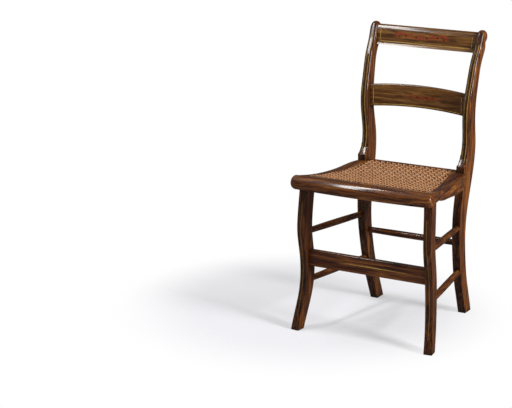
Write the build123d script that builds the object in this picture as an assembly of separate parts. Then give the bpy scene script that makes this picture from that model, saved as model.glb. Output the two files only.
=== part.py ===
from build123d import *
import math
import os

# Painted side chair with a scrolled back, sabre legs and a hand-caned seat.
# Millimetres. X runs across the chair, the front faces -Y, Z is up from the
# floor, and the origin is on the floor under the middle of the chair. Right is
# the side of +X.

# --- Whole chair -----------------------------------------------------------
overall_height = 847.5      # floor to the top of the scrolled post heads
overall_depth = 467.5       # nose of the seat roll to the back of the scrolls
foot_round = 2.5            # worn edges round each foot

# --- Fits between pieces ---------------------------------------------------
fit = 0.2                   # clearance round a tenon or pin in its hole
end_gap = 1.0               # air left at the bottom of a mortise
overrun = 6.0               # how far a blank runs past the face it is cut on
blend = 0.1                 # how far one form runs into the next where they flow together

# --- Rear posts: stile and rear leg sawn from one plank --------------------
post_thickness = 24.0
post_depth = 40.0           # front to back in the middle of the rear leg
post_foot_x = 157.0         # outer face at the floor
post_top_x = 181.0          # outer face at the scrolls
heel_set_back = 67.0        # heel behind the middle of the post at the seat
scroll_set_back = 74.0      # scroll centre behind the middle of the post at the seat
scroll_radius = 19.5
scroll_lean = 27.0          # lean of the stile where it runs onto the scroll, degrees
scroll_rim = 11.0           # rounding of the scroll's two rims
stile_round = 9.0           # rounding of the stile's front arrises
knee_reach = 10.0           # knee in front of the stile
knee_height = 19.0          # square block of the knee
knee_slope = 12.0           # height in which the knee runs back into the stile
knee_step = 3.0             # rounded shoulder on top of the block
# share of the leg's height, share of heel_set_back, share of post_depth
REAR_LEG_SHAPE = [
    (0.00, 1.00, 0.95),
    (0.14, 0.63, 0.99),
    (0.28, 0.27, 0.99),
    (0.44, 0.00, 1.00),
    (0.60, -0.17, 1.05),
    (0.77, -0.16, 1.21),
    (0.93, 0.02, 1.39),
]
# share of the stile's height, share of scroll_set_back, share of post_depth
STILE_SHAPE = [
    (0.10, 0.19, 1.48),
    (0.26, 0.27, 1.23),
    (0.42, 0.14, 1.13),
    (0.57, 0.12, 1.08),
    (0.73, 0.29, 0.92),
    (0.89, 0.55, 0.86),
    (0.98, 0.79, 0.81),
]

# --- Front legs ------------------------------------------------------------
leg_inset = 37.0            # leg's middle behind the middle of the roll's ends
leg_reveal = 3.0            # leg's outer face inside the seat rail's at the top
leg_depth = 42.5            # front to back at the top
leg_width = 22.0            # side to side at the top
toe_kick = 23.0             # toe in front of the leg's top
foot_splay = 17.0           # foot outside the leg's top
leg_tenon_diameter = 16.0
leg_tenon_length = 18.0
# share of the leg's height, share of toe_kick, share of leg_depth
LEG_SIDE_SHAPE = [
    (0.00, -1.00, 0.66),
    (0.12, -0.33, 0.82),
    (0.26, 0.33, 0.88),
    (0.40, 0.52, 0.92),
    (0.53, 0.26, 0.96),
    (0.68, -0.28, 1.00),
    (0.82, -0.26, 1.01),
    (1.00, 0.00, 1.00),
]
# share of the leg's height, share of foot_splay, share of leg_width
LEG_FRONT_SHAPE = [
    (0.00, 1.00, 1.14),
    (0.14, 0.73, 1.02),
    (0.29, 0.45, 1.00),
    (0.44, 0.32, 1.01),
    (0.68, 0.20, 1.01),
    (1.00, 0.00, 1.00),
]

# --- Seat frame ------------------------------------------------------------
seat_rear_height = 448.0    # top of the frame at the rear posts
seat_dip = 5.3              # lowest part of the scooped frame below its rear
crown_rise = 15.5           # top of the frame at the roll above its rear
front_rail_drop = 18.0      # underside of the front rail below the frame's rear top
seat_front_width = 434.0    # over the rounded ends of the roll
roll_diameter = 41.0
roll_end_round = 12.0       # rounding of the roll's ends
roll_proud = 1.0            # top of the roll above the frame behind it
front_bow = 12.0            # middle of the roll in front of its ends
front_rail_depth = 63.0     # roll's end centre to the back face of the front rail
roll_overhang = 12.5        # end of the roll outside the side rail
cheek_start = 1.5           # front rail's cheek outside the side rail where it leaves the roll
cheek_swell = 4.5           # the same cheek halfway back
rail_rear_proud = 2.5       # side rail's outer face outside the rear post
rail_bulge = 6.0            # outward bow of the side rail's outer face
rail_rear_drop = 41.0       # height of the side rail at its rear end
rail_round = 5.0            # rounding of the side rail's outer arrises
rail_tenon_size = (11.0, 14.0, 13.0)    # width, length, height of the side rail's tenons
rail_front_tenon_inset = 28.0           # its middle inside the rail's outer face
rail_front_tenon_rise = 10.0            # its middle above the rail's underside
rail_rear_tenon_rise = 11.0
rear_rail_lap = 3.0         # rear rail's face in front of the post's face
rear_rail_depth = 26.0
rear_rail_height = 24.0
rear_tenon_size = (13.0, 10.0, 13.0)    # length, thickness, height
# share of the frame's run, share of the crown's rise above the lowest part
SEAT_FRONT_SHAPE = [(0.00, 0.97), (0.12, 0.66), (0.25, 0.38), (0.38, 0.18), (0.55, 0.01)]
# share of the frame's run, share of seat_dip
SEAT_REAR_SHAPE = [(0.72, 0.00), (0.89, 0.68), (1.00, 0.90)]
# share of the side rail's run, share of the fall of its underside
RAIL_UNDER_SHAPE = [(0.00, 0.00), (0.18, 0.48), (0.39, 0.70), (0.58, 0.91), (0.87, 1.00)]
# share of the side rail's run, share of rail_bulge
RAIL_PLAN_SHAPE = [(0.00, 0.00), (0.37, 0.40), (0.66, 1.00), (0.86, 0.85), (1.00, 0.00)]

# --- Caned panel -----------------------------------------------------------
cane_front_inset = 18.5     # line of cane holes inside the side rail's face, front corners
cane_rear_inset = 41.5      # the same at the rear corners
cane_front_margin = 38.0    # roll's end centre to the front line of holes
cane_rear_margin = 9.0      # rear rail's front face to the rear line of holes
cane_land = 12.0            # side rail left inside its line of holes
cane_thickness = 1.6
cane_openings_across = 12   # plain grid of openings that stands for the open weave
cane_opening_share = 0.56   # side of an opening, as a share of the grid's spacing
cane_closed_edge = 13.0     # closed weave inside the line of holes, where it lies on the frame
binder_width = 5.0
binder_thickness = 2.6

# --- Crest and slat --------------------------------------------------------
crest_drop = 63.5           # crest's lower edge below the top of the scrolls
crest_roll_radius = 12.5
crest_thickness = 13.0
crest_recess = 15.6         # crest's face behind the stile's face at its lower edge
crest_notch_lean = 39.0     # lean of the crest's back where it runs in under the roll, degrees
crest_tenon_rise = 5.0      # tenon's lower side above the crest's lower edge
crest_tenon_height = 20.0
slat_drop = 181.2           # slat's lower edge below the crest's lower edge
slat_width = 65.0
slat_arch = 12.0            # rise of both edges in the middle
slat_bow = 6.0              # middle of the slat behind its ends
slat_thickness = 12.0
slat_recess = 17.8          # slat's face behind the stile's face
slat_round = 2.5            # rounding of the slat's long arrises
slat_tenon_height = 40.0
back_tenon_cheek = 2.5      # shoulder on each face of the crest and the slat
back_tenon_length = 13.0
pin_diameter = 5.0
pin_length = 24.0
pin_inset = 7.0             # pin's middle from the post's inner face

# --- Stretchers ------------------------------------------------------------
front_stretcher_height = 214.0
front_stretcher_width = 49.0
front_stretcher_thickness = 14.0
front_stretcher_round = 3.0
stretcher_tenon_size = (13.0, 8.0, 30.0)    # length, thickness, height
rod_diameter = 19.5         # middle of a turned stretcher
rod_end_diameter = 17.0
rod_tenon_diameter = 13.0
rod_tenon_length = 14.0
rear_rod_height = 232.0
upper_rod_front_height = 291.5
upper_rod_rear_height = 282.5
lower_rod_height = 143.0

# --- Places worked out from the sizes --------------------------------------
roll_radius = roll_diameter / 2
scroll_z = overall_height - scroll_radius
scroll_y = overall_depth / 2 - scroll_radius
post_y = scroll_y - scroll_set_back
seat_joint_height = seat_rear_height - front_rail_drop
seat_crown = seat_rear_height + crown_rise
crest_bottom = overall_height - crest_drop
slat_bottom = crest_bottom - slat_drop
slat_middle_z = slat_bottom + slat_width / 2
crest_pin_z = crest_bottom + crest_tenon_rise + crest_tenon_height / 2
roll_z = seat_crown + roll_proud - roll_radius
roll_middle_y = -overall_depth / 2 + roll_radius
roll_end_y = roll_middle_y + front_bow
roll_end_x = seat_front_width / 2
rail_front_x = roll_end_x - roll_overhang
front_rail_back_y = roll_end_y + front_rail_depth
leg_y = roll_end_y + leg_inset
leg_top_x = rail_front_x - leg_reveal
leg_x = leg_top_x - leg_width / 2
knee_top = seat_rear_height + knee_height + knee_slope
REACH = 500.0               # past every face of the chair, for sawing through a blank


# --- Curves ----------------------------------------------------------------
def stations(shape, low, high, reach, middle, size):
    """(middle, size, height) rows of a sawn curve between two heights."""
    return [(middle + share * reach, part * size, low + t * (high - low)) for t, share, part in shape]


def edge_points(rows, side):
    """Points along one edge of a sawn curve: side -1 is its near edge, +1 its far edge."""
    return [(middle + side * size / 2, height) for middle, size, height in rows]


def on_scroll(radius):
    """Point where a leaning front edge runs onto a circle about the scroll's centre."""
    back, up = leaning(scroll_lean)
    return (scroll_y - (radius - blend) * up, scroll_z + (radius - blend) * back)


def edge_onto_scroll(points):
    """Front edge of the post, run tangent onto the scroll's circle."""
    start = (points[1][0] - points[0][0], points[1][1] - points[0][1])
    return Spline(points + [on_scroll(scroll_radius)], tangents=[start, leaning(scroll_lean)])


def along(edge, value, axis):
    """How far along it, from 0 to 1, a curve that never turns back reaches a value."""
    low, high = 0.0, 1.0
    for _ in range(40):
        probe = (low + high) / 2
        if getattr(edge @ probe, axis) < value:
            low = probe
        else:
            high = probe
    return low


def across(edge, height):
    """Where a rising edge of an outline stands at a height."""
    return (edge @ along(edge, height, "Y")).X


def stretch(edge, low, high):
    """The part of a rising edge between two heights."""
    return edge.trim(along(edge, low, "Y"), along(edge, high, "Y"))


def heading(edge, height):
    """Direction of a rising edge of an outline at a height."""
    return edge % along(edge, height, "Y")


def leaning(degrees):
    """Upward direction that leans backwards by an angle."""
    return (math.sin(math.radians(degrees)), math.cos(math.radians(degrees)))


def between(near, far):
    """Face between two rising edges, closed straight across both ends."""
    return make_face([near, Line(near @ 1, far @ 1), far, Line(near @ 0, far @ 0)])


post_rows = stations(REAR_LEG_SHAPE, 0.0, seat_joint_height, heel_set_back, post_y, post_depth)
post_rows += stations(STILE_SHAPE, seat_joint_height, scroll_z - scroll_radius,
                      scroll_set_back, post_y, post_depth)
post_front = edge_onto_scroll(edge_points(post_rows, -1))
post_back = Spline(edge_points(post_rows, 1) + [(scroll_y, scroll_z - scroll_radius + blend)])
leg_rows = stations(LEG_SIDE_SHAPE, 0.0, seat_joint_height, toe_kick, leg_y, leg_depth)
leg_front = Spline(edge_points(leg_rows, -1))
leg_back = Spline(edge_points(leg_rows, 1))
leg_face_rows = [(leg_top_x + share * foot_splay - part * leg_width / 2, part * leg_width,
                  t * seat_joint_height) for t, share, part in LEG_FRONT_SHAPE]
leg_inner = Spline(edge_points(leg_face_rows, -1))
leg_outer = Spline(edge_points(leg_face_rows, 1))


def post_outer_x(z):
    return post_foot_x + (post_top_x - post_foot_x) * z / overall_height


def post_inner_x(z):
    return post_outer_x(z) - post_thickness


def post_middle(z):
    """Middle of the right post's section at a height."""
    return Vector(post_outer_x(z) - post_thickness / 2, (across(post_front, z) + across(post_back, z)) / 2, z)


rear_rail_front_y = across(post_front, seat_joint_height) - rear_rail_lap
rail_end_y = across(post_back, seat_joint_height)
rail_rear_x = post_outer_x(seat_joint_height) + rail_rear_proud
cane_front_x = rail_front_x - cane_front_inset
cane_rear_x = rail_rear_x - cane_rear_inset
cane_front_y = roll_end_y + cane_front_margin
cane_rear_y = rear_rail_front_y + cane_rear_margin
rail_taper = math.degrees(math.atan2(rail_front_x - rail_rear_x, rear_rail_front_y - front_rail_back_y))


def leg_middle(z):
    """Middle of the right front leg's section at a height, turned to the side rail's line."""
    x = (across(leg_inner, z) + across(leg_outer, z)) / 2 - leg_x
    y = (across(leg_front, z) + across(leg_back, z)) / 2 - leg_y
    turn = math.radians(rail_taper)
    return Vector(leg_x + x * math.cos(turn) - y * math.sin(turn),
                  leg_y + x * math.sin(turn) + y * math.cos(turn), z)


def cane_line_x(y):
    """Line of cane holes along the right side of the seat."""
    slope = (cane_rear_x - cane_front_x) / (cane_rear_y - cane_front_y)
    return cane_front_x + slope * (y - cane_front_y)


def seat_line():
    """Top of the seat frame in side view, from the roll back past the rear posts."""
    low = seat_rear_height - seat_dip
    run = rear_rail_front_y - roll_end_y
    points = [(roll_middle_y, seat_crown)]
    points += [(roll_end_y + t * run, low + share * (seat_crown - low)) for t, share in SEAT_FRONT_SHAPE]
    points += [(roll_end_y + t * run, low + share * seat_dip) for t, share in SEAT_REAR_SHAPE]
    return Spline(points + [(rail_end_y, seat_rear_height)])


seat_top = seat_line()


def seat_z(y):
    """Height of the frame's top at a depth."""
    return (seat_top @ along(seat_top, y, "X")).Y


# --- Ways of making a solid ------------------------------------------------
def sawn(side_face, front_face):
    """Plank sawn to a side outline (Y, Z) and then to a front outline (X, Z)."""
    from_side = extrude(Plane.YZ * side_face, amount=REACH, both=True)
    from_front = extrude(Plane.XZ * front_face, amount=REACH, both=True)
    return from_side & from_front


def shaped(side_face, plan_face):
    """Board sawn to a side outline (Y, Z) and to a plan (X, Y)."""
    from_side = extrude(Plane.YZ * side_face, amount=REACH, both=True)
    from_plan = extrude(plan_face, amount=2 * REACH)
    return from_side & from_plan


def worn_foot(leg):
    """Softens the edges round the sole."""
    return fillet(leg.faces().sort_by(Axis.Z)[0].edges(), foot_round)


def mirrored(part):
    return mirror(part, about=Plane.YZ)


def between_posts():
    """Space between the inner faces of the two posts."""
    foot = post_inner_x(0)
    head = post_inner_x(overall_height)
    top = overall_height
    face = make_face(Polyline([(-foot, 0), (foot, 0), (head, top), (-head, top), (-foot, 0)]))
    return extrude(Plane.XZ * face, amount=REACH, both=True)


def behind_posts():
    """Everything behind the front edge of the posts."""
    far = [post_front @ 1, (REACH, scroll_z), (REACH, 0), post_front @ 0]
    return extrude(Plane.YZ * make_face([post_front, Polyline(far)]), amount=REACH, both=True)


def end_tenon(section, z, length, clearance):
    """Side section (Y, Z) run out past the right post's inner face."""
    inner = post_inner_x(z)
    tip = inner + length + (end_gap if clearance else 0)
    return Pos(inner - overrun, 0, 0) * extrude(Plane.YZ * section, amount=tip - inner + overrun)


def block(center, size):
    return Pos(*center) * Box(*size)


def rod(start, end, radius):
    """Plain round bar between two points."""
    axis = end - start
    return Solid.make_cylinder(radius, axis.length, Plane(origin=start, z_dir=axis))


# --- Rear posts ------------------------------------------------------------
def post_face():
    """Front outline of the right post: straight sides that lean outwards."""
    top = overall_height
    return make_face(Polyline([
        (post_inner_x(0), 0), (post_outer_x(0), 0), (post_outer_x(top), top),
        (post_inner_x(top), top), (post_inner_x(0), 0)]))


def post_side():
    """Side outline of stile and rear leg in one curve, ending inside the scroll."""
    core = (scroll_y, scroll_z)
    return make_face([post_front, Line(post_front @ 1, core), Line(core, post_back @ 1), post_back,
                      Line(post_front @ 0, post_back @ 0)])


def front_arrises(post):
    """The two long front arrises, from the foot up to the scroll."""
    found = []
    for edge in post.edges():
        middle = edge.position_at(0.5)
        tall = edge.bounding_box().size.Z > overall_height / 2
        if tall and middle.Y < post_middle(middle.Z).Y:
            found.append(edge)
    return found


def scrolled_head():
    """Rolled head of the post: a short drum with softened rims."""
    drum = sawn(Pos(scroll_y, scroll_z) * Circle(scroll_radius), post_face())
    rims = [edge for edge in drum.edges() if edge.geom_type != GeomType.LINE]
    return fillet(rims, scroll_rim)


def knee():
    """Stepped knee at the foot of the stile, cut down onto the side rail later."""
    low = seat_rear_height - seat_dip
    high = seat_rear_height + knee_height
    front = across(post_front, seat_rear_height) - knee_reach
    inside = post_middle(high).Y
    top = (across(post_front, knee_top), knee_top)
    shoulder = (front + knee_step, high)
    side = make_face([
        Line((front, low), (front, high - knee_step)),
        RadiusArc((front, high - knee_step), shoulder, knee_step),
        Spline([shoulder, top], tangents=[(1, 0), heading(post_front, knee_top)]),
        Polyline([top, (inside, knee_top), (inside, low), (front, low)]),
    ])
    return sawn(side, post_face())


def post_blank():
    """Right post: square leg, round-fronted stile and scrolled head in one piece."""
    plank = sawn(post_side(), post_face())
    below = block((post_top_x, post_y, 0), (REACH, REACH, 2 * knee_top))
    stile = fillet(front_arrises(plank), stile_round) - below
    return worn_foot(plank & below) + stile + scrolled_head()


# --- Front legs ------------------------------------------------------------
def leg_tenon(clearance=0.0):
    """Round tenon on top of the right front leg, or its socket when there is clearance."""
    top = seat_joint_height + leg_tenon_length + (end_gap if clearance else 0)
    low = seat_joint_height - overrun
    return rod(Vector(leg_x, leg_y, low), Vector(leg_x, leg_y, top), leg_tenon_diameter / 2 + clearance)


def leg_blank():
    """Right front leg, kicked forwards and outwards at the toe."""
    leg = sawn(between(leg_front, leg_back), between(leg_inner, leg_outer))
    return Pos(leg_x, leg_y) * Rot(0, 0, rail_taper) * Pos(-leg_x, -leg_y) * worn_foot(leg)


# --- Seat frame ------------------------------------------------------------
def roll():
    """Rolled nose of the seat: a round bar bowed forwards, with domed ends."""
    left = Vector(-roll_end_x, roll_end_y, roll_z)
    right = Vector(roll_end_x, roll_end_y, roll_z)
    path = ThreePointArc(left, (0, roll_middle_y, roll_z), right)
    section = Plane(origin=path @ 0, z_dir=path % 0) * Circle(roll_radius)
    bar = sweep(section, path=path)
    return fillet(bar.faces().filter_by(GeomType.PLANE).edges(), roll_end_round)


def under_seat_top(lower):
    """Side outline between the seat line and a lower edge."""
    return make_face([seat_top, Line(seat_top @ 0, lower @ 0), lower, Line(seat_top @ 1, lower @ 1)])


def front_rail_blank():
    """Roll and the flat rail behind it, whose cheeks run into the side rails."""
    start_x = rail_front_x + cheek_start
    cheek = [(start_x, roll_end_y),
             (rail_front_x + cheek_swell, (roll_end_y + front_rail_back_y) / 2),
             (rail_front_x, front_rail_back_y)]
    plan = make_face([
        ThreePointArc((-start_x, roll_end_y), (0, roll_middle_y), (start_x, roll_end_y)),
        Spline(cheek),
        Line(cheek[-1], (-rail_front_x, front_rail_back_y)),
        Spline([(-x, y) for x, y in reversed(cheek)]),
    ])
    floor = Line((roll_middle_y, seat_joint_height), (rail_end_y, seat_joint_height))
    tail = shaped(under_seat_top(floor), plan)
    return roll() + soft_outside(tail)


def side_rail_plan():
    """Plan of the right side rail, run on past the rear post."""
    run = rear_rail_front_y - front_rail_back_y
    outer = Spline([(rail_front_x + t * (rail_rear_x - rail_front_x) + share * rail_bulge,
                     front_rail_back_y + t * run) for t, share in RAIL_PLAN_SHAPE])
    inner = [(cane_line_x(y) - cane_land, y) for y in (rail_end_y, front_rail_back_y)]
    return make_face([outer, Polyline([outer @ 1, (rail_rear_x, rail_end_y)] + inner + [outer @ 0])])


def side_rail_underside():
    low = seat_rear_height - rail_rear_drop
    run = rear_rail_front_y - front_rail_back_y
    points = [(front_rail_back_y + t * run, seat_joint_height + share * (low - seat_joint_height))
              for t, share in RAIL_UNDER_SHAPE]
    return Spline(points + [(rail_end_y, low)])


def side_rail_blank():
    """Scooped and bowed right side rail, before it is cut to the pieces at its ends."""
    lower = side_rail_underside()
    lead = Polyline([seat_top @ 0, (roll_middle_y, seat_joint_height), lower @ 0])
    side = make_face([seat_top, lead, lower, Line(seat_top @ 1, lower @ 1)])
    return soft_outside(shaped(side, side_rail_plan()))


def soft_outside(rail):
    """Rounds the top outer arrises of a rail, which lie on the seat's curved top."""
    rims = [edge for edge in rail.edges() if on_outer_rim(edge)]
    return fillet(rims, rail_round)


def on_outer_rim(edge):
    middle = edge.position_at(0.5)
    outside = abs(middle.X) > cane_line_x(middle.Y)
    return outside and abs(middle.Z - seat_z(middle.Y)) < blend


def rail_tenon(root, side, clearance=0.0):
    """Tenon of a right side rail: side -1 points forwards, +1 backwards."""
    width, length, height = rail_tenon_size
    start = root.Y - side * overrun
    tip = root.Y + side * (length + (end_gap if clearance else 0))
    size = (width + 2 * clearance, abs(tip - start), height + 2 * clearance)
    return block((root.X, (start + tip) / 2, root.Z), size)


def rear_rail_blank():
    """Rear rail, long enough to be cut off at the posts."""
    low = seat_rear_height - rear_rail_height
    floor = Line((roll_middle_y, low), (rail_end_y, low))
    middle = rear_rail_front_y + rear_rail_depth / 2
    plan = Pos(0, middle) * Rectangle(REACH, rear_rail_depth)
    return shaped(under_seat_top(floor), plan) & between_posts()


def rear_rail_tenon(clearance=0.0):
    length, thickness, height = rear_tenon_size
    z = seat_rear_height - rear_rail_height / 2
    y = rear_rail_front_y + rear_rail_depth / 2
    section = Pos(y, z) * Rectangle(thickness + 2 * clearance, height + 2 * clearance)
    return end_tenon(section, z, length, clearance)


# --- Crest and slat --------------------------------------------------------
def crest_edges():
    """Front and back edge of the crest's thin blade in side view."""
    foot = across(post_front, crest_bottom) + crest_recess
    start = heading(post_front, crest_bottom)
    front = Spline([(foot, crest_bottom), on_scroll(crest_roll_radius)],
                   tangents=[start, leaning(scroll_lean)])
    notch = (scroll_y, scroll_z - crest_roll_radius + blend)
    back = Spline([(foot + crest_thickness, crest_bottom), notch],
                  tangents=[start, leaning(crest_notch_lean)])
    return front, back


def crest_blank():
    """Crest with a thin blade and a top rolled backwards, concentric with the scrolls."""
    front, back = crest_edges()
    core = (scroll_y, scroll_z)
    blade = make_face([front, Line(front @ 1, core), Line(core, back @ 1), back, Line(back @ 0, front @ 0)])
    side = blade + Pos(*core) * Circle(crest_roll_radius)
    return extrude(Plane.YZ * side, amount=REACH, both=True) & between_posts()


def crest_tenon(clearance=0.0):
    """Tenon on the right end of the crest, sloping with the blade."""
    front, _ = crest_edges()
    low = crest_bottom + crest_tenon_rise
    middle = stretch(front, low - clearance, low + crest_tenon_height + clearance)
    cheek = back_tenon_cheek - clearance
    section = between(Pos(cheek, 0) * middle, Pos(crest_thickness - cheek, 0) * middle)
    return end_tenon(section, low, back_tenon_length, clearance)


def slat_middle_y():
    return across(post_front, slat_middle_z) + slat_recess + slat_thickness / 2


def slat_blank():
    """Slat with arched edges, bowed backwards between the posts."""
    middle_y = slat_middle_y()
    half = post_outer_x(slat_bottom)
    low = ThreePointArc((-half, slat_bottom), (0, slat_bottom + slat_arch), (half, slat_bottom))
    high = Pos(0, slat_width) * low
    face = make_face([low, Line(low @ 1, high @ 1), high, Line(high @ 0, low @ 0)])
    bow = ThreePointArc((-half, middle_y), (0, middle_y + slat_bow), (half, middle_y))
    near = Pos(0, -slat_thickness / 2) * bow
    far = Pos(0, slat_thickness / 2) * bow
    plan = make_face([near, Line(near @ 1, far @ 1), far, Line(far @ 0, near @ 0)])
    board = extrude(Plane.XZ * face, amount=REACH, both=True) & extrude(plan, amount=2 * REACH)
    long_edges = [edge for edge in board.edges() if edge.bounding_box().size.X > half]
    return fillet(long_edges, slat_round) & between_posts()


def slat_tenon(clearance=0.0):
    size = (slat_thickness - 2 * back_tenon_cheek + 2 * clearance, slat_tenon_height + 2 * clearance)
    section = Pos(slat_middle_y(), slat_middle_z) * Rectangle(*size)
    return end_tenon(section, slat_middle_z, back_tenon_length, clearance)


def back_pin(z, clearance=0.0):
    """Wooden pin driven from the back of the right post through a tenon."""
    back = across(post_back, z)
    x = post_inner_x(z) + pin_inset
    front = back - pin_length - (end_gap if clearance else 0)
    return rod(Vector(x, front, z), Vector(x, back + overrun, z), pin_diameter / 2 + clearance)


# --- Stretchers ------------------------------------------------------------
def turned_rod(start, end):
    """Turned stretcher between two faces: a little fuller in the middle."""
    axis = end - start
    length = axis.length
    radius = rod_end_diameter / 2
    edge = Spline([(radius, -overrun), (rod_diameter / 2, length / 2), (radius, length + overrun)])
    half = make_face([edge, Polyline([edge @ 1, (0, length + overrun), (0, -overrun), edge @ 0])])
    turned = revolve(Plane.XZ * half, axis=Axis.Z)
    return Plane(origin=start, z_dir=axis).location * turned


def rod_tenons(start, end, clearance=0.0):
    """Round tenons past both faces, or their sockets when there is clearance."""
    out = (end - start).normalized()
    past = rod_tenon_length + (end_gap if clearance else 0)
    radius = rod_tenon_diameter / 2 + clearance
    inside = out * overrun
    return [rod(start + inside, start - out * past, radius), rod(end - inside, end + out * past, radius)]


def side_rod_ends(front_height, rear_height):
    """Where a right side stretcher meets the faces of its front and rear leg."""
    front = leg_middle(front_height)
    rear = post_middle(rear_height)
    out = (rear - front).normalized()
    depth_front = across(leg_back, front_height) - across(leg_front, front_height)
    depth_rear = across(post_back, rear_height) - across(post_front, rear_height)
    return front + out * (depth_front / 2), rear - out * (depth_rear / 2)


def rear_rod_ends():
    right = post_middle(rear_rod_height)
    right.X = post_inner_x(rear_rod_height)
    return Vector(-right.X, right.Y, right.Z), right


def front_stretcher_blank():
    """Flat board between the front legs, with softened edges."""
    middle = leg_middle(front_stretcher_height)
    board = block((0, middle.Y, middle.Z), (2 * middle.X, front_stretcher_thickness, front_stretcher_width))
    return fillet(board.edges().filter_by(Axis.X), front_stretcher_round)


def front_stretcher_tenon(clearance=0.0):
    middle = leg_middle(front_stretcher_height)
    length, thickness, height = stretcher_tenon_size
    inner = across(leg_inner, front_stretcher_height)
    low = inner - overrun
    high = inner + length + (end_gap if clearance else 0)
    size = (high - low, thickness + 2 * clearance, height + 2 * clearance)
    return block(((low + high) / 2, middle.Y, middle.Z), size)


# --- Caned panel -----------------------------------------------------------
def cane_plan(margin):
    """Outline of the caned panel at a distance outside the line of holes."""
    front = cane_front_y - margin
    rear = cane_rear_y + margin
    front_x = cane_line_x(front) + margin
    rear_x = cane_line_x(rear) + margin
    return make_face(Polyline([(-front_x, front), (front_x, front), (rear_x, rear), (-rear_x, rear),
                               (-front_x, front)]))


def cane_openings():
    """Plain grid of square openings where the weave hangs free inside the frame."""
    spacing = 2 * cane_front_x / cane_openings_across
    side = cane_opening_share * spacing
    depth = cane_rear_y - cane_front_y - 2 * cane_closed_edge
    rows = int((depth + spacing - side) / spacing)
    grid = Pos(0, (cane_front_y + cane_rear_y) / 2) * GridLocations(spacing, spacing, cane_openings_across, rows)
    return [place * Rectangle(side, side) for place in grid if hangs_free(place, side)]


def hangs_free(place, side):
    """Whether a square opening lies wholly inside the closed edge of the weave."""
    x, y, _ = place.position
    return abs(x) + side / 2 < cane_line_x(y + side / 2) - cane_closed_edge


def laid_on_seat(plan, thickness):
    """Thin layer that follows the scooped top of the frame."""
    top = Pos(0, thickness) * seat_top
    side = make_face([seat_top, Line(seat_top @ 1, top @ 1), top, Line(top @ 0, seat_top @ 0)])
    return shaped(side, plan)


# --- Build and join --------------------------------------------------------
def both_sides(tool):
    """A right-hand cutter or tenon together with its mirror image."""
    return [tool, mirrored(tool)]


right_post = post_blank()
front_rail = front_rail_blank()
side_rail = side_rail_blank()
right_leg = leg_blank()

# The side rail stops on the front rail, the post's face and the rear rail's face.
behind_rear_rail = block((0, rear_rail_front_y + REACH / 2, 0), (REACH, REACH, 2 * REACH)) & between_posts()
ahead_of_rail = block((0, front_rail_back_y - REACH / 2, 0), (REACH, REACH, 2 * REACH))
right_post += knee() - side_rail
side_rail = side_rail - behind_posts() - behind_rear_rail - ahead_of_rail
front_root = Vector(rail_front_x - rail_front_tenon_inset, front_rail_back_y,
                    seat_joint_height + rail_front_tenon_rise)
rear_tenon_z = seat_rear_height - rail_rear_drop + rail_rear_tenon_rise
rear_root = Vector(post_middle(rear_tenon_z).X, across(post_front, rear_tenon_z), rear_tenon_z)
side_rail += [rail_tenon(front_root, -1), rail_tenon(rear_root, 1)]
front_rail -= both_sides(rail_tenon(front_root, -1, fit)) + both_sides(leg_tenon(fit))
right_post -= rail_tenon(rear_root, 1, fit)
right_leg += leg_tenon()
rear_rail = rear_rail_blank() + both_sides(rear_rail_tenon())
right_post -= rear_rail_tenon(fit)

# Crest and slat, each held by a pin from behind.
crest = crest_blank() + both_sides(crest_tenon()) - both_sides(back_pin(crest_pin_z, fit))
slat = slat_blank() + both_sides(slat_tenon()) - both_sides(back_pin(slat_middle_z, fit))
crest_pin = back_pin(crest_pin_z) & right_post
slat_pin = back_pin(slat_middle_z) & right_post
right_post = right_post - crest_tenon(fit) - slat_tenon(fit)
right_post = right_post - back_pin(crest_pin_z, fit) - back_pin(slat_middle_z, fit)

# Stretchers: shoulders are scribed to the legs, tenons go into round sockets.
upper_start, upper_end = side_rod_ends(upper_rod_front_height, upper_rod_rear_height)
lower_start, lower_end = side_rod_ends(lower_rod_height, lower_rod_height)
rear_start, rear_end = rear_rod_ends()
upper_rod = turned_rod(upper_start, upper_end) - right_leg - right_post + rod_tenons(upper_start, upper_end)
lower_rod = turned_rod(lower_start, lower_end) - right_leg - right_post + rod_tenons(lower_start, lower_end)
rear_rod = (turned_rod(rear_start, rear_end) & between_posts()) + rod_tenons(rear_start, rear_end)
front_stretcher = front_stretcher_blank() - both_sides(right_leg) + both_sides(front_stretcher_tenon())
sockets = rod_tenons(upper_start, upper_end, fit) + rod_tenons(lower_start, lower_end, fit)
right_leg = right_leg - sockets - front_stretcher_tenon(fit)
right_post = right_post - sockets - rod_tenons(rear_start, rear_end, fit)

# Caned panel inside its binder.
half_binder = binder_width / 2
cane_seat = laid_on_seat(cane_plan(-half_binder) - cane_openings(), cane_thickness)
cane_binder = laid_on_seat(cane_plan(half_binder) - cane_plan(-half_binder), binder_thickness)

nodes = {
    "right_rear_post": right_post,
    "left_rear_post": mirrored(right_post),
    "crest_rail": crest,
    "back_slat": slat,
    "right_crest_pin": crest_pin,
    "left_crest_pin": mirrored(crest_pin),
    "right_slat_pin": slat_pin,
    "left_slat_pin": mirrored(slat_pin),
    "right_front_leg": right_leg,
    "left_front_leg": mirrored(right_leg),
    "front_seat_rail": front_rail,
    "right_side_seat_rail": side_rail,
    "left_side_seat_rail": mirrored(side_rail),
    "rear_seat_rail": rear_rail,
    "front_stretcher": front_stretcher,
    "rear_stretcher": rear_rod,
    "right_upper_side_stretcher": upper_rod,
    "left_upper_side_stretcher": mirrored(upper_rod),
    "right_lower_side_stretcher": lower_rod,
    "left_lower_side_stretcher": mirrored(lower_rod),
    "cane_seat": cane_seat,
    "cane_binder": cane_binder,
}
os.makedirs("parts", exist_ok=True)
for name, part in nodes.items():
    export_step(part, f"parts/{name}.step")
    box = part.bounding_box()
    print(f"{name:28} solids {len(part.solids())}  {box.size.X:7.1f} {box.size.Y:7.1f} {box.size.Z:7.1f} mm")
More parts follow.
